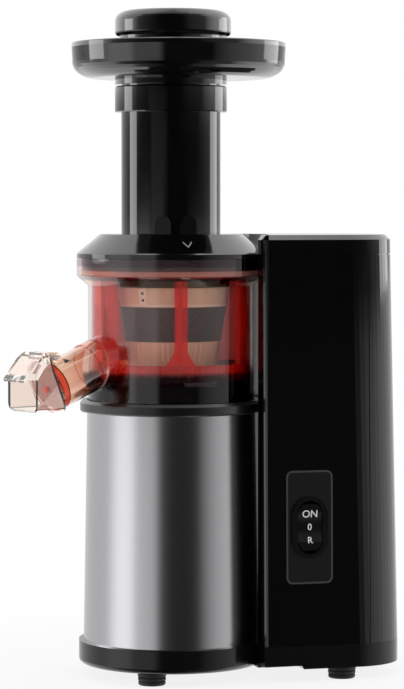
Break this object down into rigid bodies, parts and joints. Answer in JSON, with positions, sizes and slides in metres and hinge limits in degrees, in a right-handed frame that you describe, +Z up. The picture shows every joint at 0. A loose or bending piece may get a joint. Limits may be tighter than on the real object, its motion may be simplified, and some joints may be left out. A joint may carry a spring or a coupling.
{
  "type": "cold press juicer",
  "caption": "Upright slow juicer: black base and column, steel sleeve, clear bowl with spinning brush, strainer and auger, lidded feed chute, round tray and pusher.",
  "frame": {"origin": "centre of the bounding box at the level the feet stand on", "axes": "+Z up along the drive axis; +X from the juice spout towards the column; the switch is on the -Y side"},
  "size_m": [0.2552, 0.1502, 0.4153],
  "materials": {
    "base_plastic": "glossy injection-moulded ABS",
    "foot_rubber": "moulded rubber, ribbed",
    "zinc_screw": "zinc-plated steel",
    "inner_plastic": "glass-filled nylon",
    "brushed_sleeve": "stainless steel brushed round the body",
    "deck_plastic": "glossy ABS",
    "red_silicone": "silicone",
    "column_gloss": "high-gloss piano-black ABS",
    "panel_black": "satin black insert",
    "panel_silver": "thin bright frame line",
    "switch_gloss": "glossy black nylon",
    "circuit_board": "glass-epoxy board with parts",
    "gland_rubber": "moulded PVC",
    "motor_steel": "zinc-plated deep-drawn steel",
    "cast_alloy": "die-cast alloy",
    "ferrite": "sintered ferrite",
    "bearing_steel": "ground bearing steel",
    "carbon": "pressed carbon",
    "machined_steel": "turned stainless steel",
    "laminated_steel": "stacked electrical steel",
    "copper": "enamelled copper wire",
    "gear_steel": "sintered steel gears",
    "white_nylon": "white acetal",
    "clear_bowl": "clear plastic with a slight violet tint",
    "red_frame": "translucent red plastic",
    "amber_resin": "amber heat-proof resin",
    "steel_mesh": "etched steel screen",
    "auger_resin": "cream heat-proof resin",
    "clear_cap": "clear plastic",
    "orange_silicone": "orange-red silicone",
    "lid_gloss": "glossy black ABS",
    "white_silicone": "white silicone",
    "tray_gloss": "glossy black ABS",
    "pusher_gloss": "high-gloss black ABS"
  },
  "bodies": {
    "base_unit": {"base_tray": "base_plastic", "feet": "foot_rubber", "housing_screws": "zinc_screw", "chassis": "inner_plastic", "steel_sleeve": "brushed_sleeve", "top_deck": "deck_plastic", "shaft_seal": "red_silicone", "column_shell": "column_gloss", "column_back_cover": "column_gloss", "column_top_cap": "column_gloss", "switch_panel": "panel_black", "switch_trim": "panel_silver", "switch_bezel": "switch_gloss", "switch_body": "inner_plastic", "control_board": "circuit_board", "cord_gland": "gland_rubber", "motor_can": "motor_steel", "motor_end_bell": "cast_alloy", "motor_magnets": "ferrite", "shaft_bearings": "bearing_steel", "carbon_brushes": "carbon", "gearbox_housing": "cast_alloy", "gearbox_cover": "cast_alloy", "sensor_spring": "machined_steel", "sensor_switch": "inner_plastic"},
    "motor_rotor": {"rotor_shaft": "machined_steel", "rotor_core": "laminated_steel", "rotor_windings": "copper", "motor_fan": "inner_plastic"},
    "carrier": {"gear_carrier": "machined_steel"},
    "low_planet_1": {"low_planet_a": "gear_steel"},
    "low_planet_2": {"low_planet_b": "gear_steel"},
    "low_planet_3": {"low_planet_c": "gear_steel"},
    "drive": {"drive_shaft": "machined_steel"},
    "top_planet_1": {"top_planet_a": "gear_steel"},
    "top_planet_2": {"top_planet_b": "gear_steel"},
    "top_planet_3": {"top_planet_c": "gear_steel"},
    "sensor": {"sensor_pin": "white_nylon"},
    "rocker": {"switch_rocker": "switch_gloss"},
    "bowl": {"juice_bowl": "clear_bowl", "bowl_seal": "red_silicone", "hinge_pins": "machined_steel", "strainer_frame": "amber_resin", "strainer_mesh": "steel_mesh"},
    "auger": {"auger_screw": "auger_resin", "auger_gear": "white_nylon", "drive_socket": "machined_steel"},
    "idler_1": {"idler_gear_a": "white_nylon"},
    "idler_2": {"idler_gear_b": "white_nylon"},
    "spinning_brush": {"brush_frame": "red_frame", "wiper_blades": "red_silicone"},
    "drip_cap": {"spout_cap": "clear_cap", "spout_plug": "orange_silicone"},
    "pulp_door": {"pulp_flap": "red_silicone"},
    "lid_ring": {"lid_seal": "white_silicone"},
    "lid_body": {"lid": "lid_gloss"},
    "tray": {"hopper_tray": "tray_gloss"},
    "pusher": {"pusher_body": "pusher_gloss", "pusher_cap": "pusher_gloss"}
  },
  "joints": [
    {"name": "motor_spin", "type": "hinge", "parent": "base_unit", "child": "motor_rotor", "pos_m": [-0.0134, -0.00806, 0.082], "axis": [0, 0, 1], "continuous": true},
    {"name": "carrier_spin", "type": "hinge", "parent": "base_unit", "child": "carrier", "pos_m": [-0.0134, -0.00806, 0.129], "axis": [0, 0, 1], "continuous": true},
    {"name": "drive_spin", "type": "hinge", "parent": "base_unit", "child": "drive", "pos_m": [-0.0134, -0.00806, 0.16], "axis": [0, 0, 1], "continuous": true},
    {"name": "low_planet_1_spin", "type": "hinge", "parent": "carrier", "child": "low_planet_1", "pos_m": [0.0016, -0.00806, 0.122], "axis": [0, 0, 1], "continuous": true},
    {"name": "low_planet_2_spin", "type": "hinge", "parent": "carrier", "child": "low_planet_2", "pos_m": [-0.0209, 0.00493, 0.122], "axis": [0, 0, 1], "continuous": true},
    {"name": "low_planet_3_spin", "type": "hinge", "parent": "carrier", "child": "low_planet_3", "pos_m": [-0.0209, -0.02105, 0.122], "axis": [0, 0, 1], "continuous": true},
    {"name": "top_planet_1_spin", "type": "hinge", "parent": "drive", "child": "top_planet_1", "pos_m": [0.0016, -0.00806, 0.135], "axis": [0, 0, 1], "continuous": true},
    {"name": "top_planet_2_spin", "type": "hinge", "parent": "drive", "child": "top_planet_2", "pos_m": [-0.0209, 0.00493, 0.135], "axis": [0, 0, 1], "continuous": true},
    {"name": "top_planet_3_spin", "type": "hinge", "parent": "drive", "child": "top_planet_3", "pos_m": [-0.0209, -0.02105, 0.135], "axis": [0, 0, 1], "continuous": true},
    {"name": "sensor_press", "type": "slide", "parent": "base_unit", "child": "sensor", "axis": [0, 0, 1], "range_m": [-0.0015, 0], "stiffness_N_per_m": 400, "springref_m": 0.003, "deforming": ["sensor_spring"]},
    {"name": "switch_rock", "type": "hinge", "parent": "base_unit", "child": "rocker", "pos_m": [0.0596, -0.0594, 0.09593], "axis": [1, 0, 0], "range_deg": [-10, 10]},
    {"name": "bowl_lift", "type": "slide", "parent": "base_unit", "child": "bowl", "axis": [0, 0, 1], "range_m": [0, 0.12]},
    {"name": "auger_spin", "type": "hinge", "parent": "bowl", "child": "auger", "pos_m": [-0.0134, -0.00806, 0.2], "axis": [0, 0, 1], "continuous": true},
    {"name": "idler_1_spin", "type": "hinge", "parent": "bowl", "child": "idler_1", "pos_m": [0.01597, -0.00019, 0.1896], "axis": [0, 0, 1], "continuous": true},
    {"name": "idler_2_spin", "type": "hinge", "parent": "bowl", "child": "idler_2", "pos_m": [-0.04276, -0.01593, 0.1896], "axis": [0, 0, 1], "continuous": true},
    {"name": "brush_spin", "type": "hinge", "parent": "bowl", "child": "spinning_brush", "pos_m": [-0.0134, -0.00806, 0.19], "axis": [0, 0, 1], "continuous": true},
    {"name": "drip_cap_hinge", "type": "hinge", "parent": "bowl", "child": "drip_cap", "pos_m": [-0.10125, -0.04178, 0.20228], "axis": [-0.3584, 0.9336, 0], "range_deg": [0, 80]},
    {"name": "pulp_flap_hinge", "type": "hinge", "parent": "bowl", "child": "pulp_door", "pos_m": [-0.03444, 0.07047, 0.1886], "axis": [0.9659, 0.2588, 0], "range_deg": [0, 70]},
    {"name": "lid_lift", "type": "slide", "parent": "bowl", "child": "lid_ring", "axis": [0, 0, 1], "range_m": [0, 0.08]},
    {"name": "lid_turn", "type": "hinge", "parent": "lid_ring", "child": "lid_body", "pos_m": [-0.0134, -0.00806, 0.2626], "axis": [0, 0, 1], "range_deg": [0, 25]},
    {"name": "tray_lift", "type": "slide", "parent": "lid_body", "child": "tray", "axis": [0, 0, 1], "range_m": [0, 0.04]},
    {"name": "pusher_slide", "type": "slide", "parent": "tray", "child": "pusher", "axis": [0, 0, 1], "range_m": [0, 0.13]}
  ],
  "couplings": [
    {"joint": "carrier_spin", "follows": "motor_spin", "ratio": 0.25},
    {"joint": "drive_spin", "follows": "motor_spin", "ratio": 0.0625},
    {"joint": "low_planet_1_spin", "follows": "motor_spin", "ratio": -0.75},
    {"joint": "top_planet_1_spin", "follows": "motor_spin", "ratio": -0.1875},
    {"joint": "low_planet_2_spin", "follows": "motor_spin", "ratio": -0.75},
    {"joint": "top_planet_2_spin", "follows": "motor_spin", "ratio": -0.1875},
    {"joint": "low_planet_3_spin", "follows": "motor_spin", "ratio": -0.75},
    {"joint": "top_planet_3_spin", "follows": "motor_spin", "ratio": -0.1875},
    {"joint": "auger_spin", "follows": "motor_spin", "ratio": 0.0625},
    {"joint": "idler_1_spin", "follows": "motor_spin", "ratio": -0.069444},
    {"joint": "idler_2_spin", "follows": "motor_spin", "ratio": -0.069444},
    {"joint": "brush_spin", "follows": "motor_spin", "ratio": -0.022321}
  ]
}
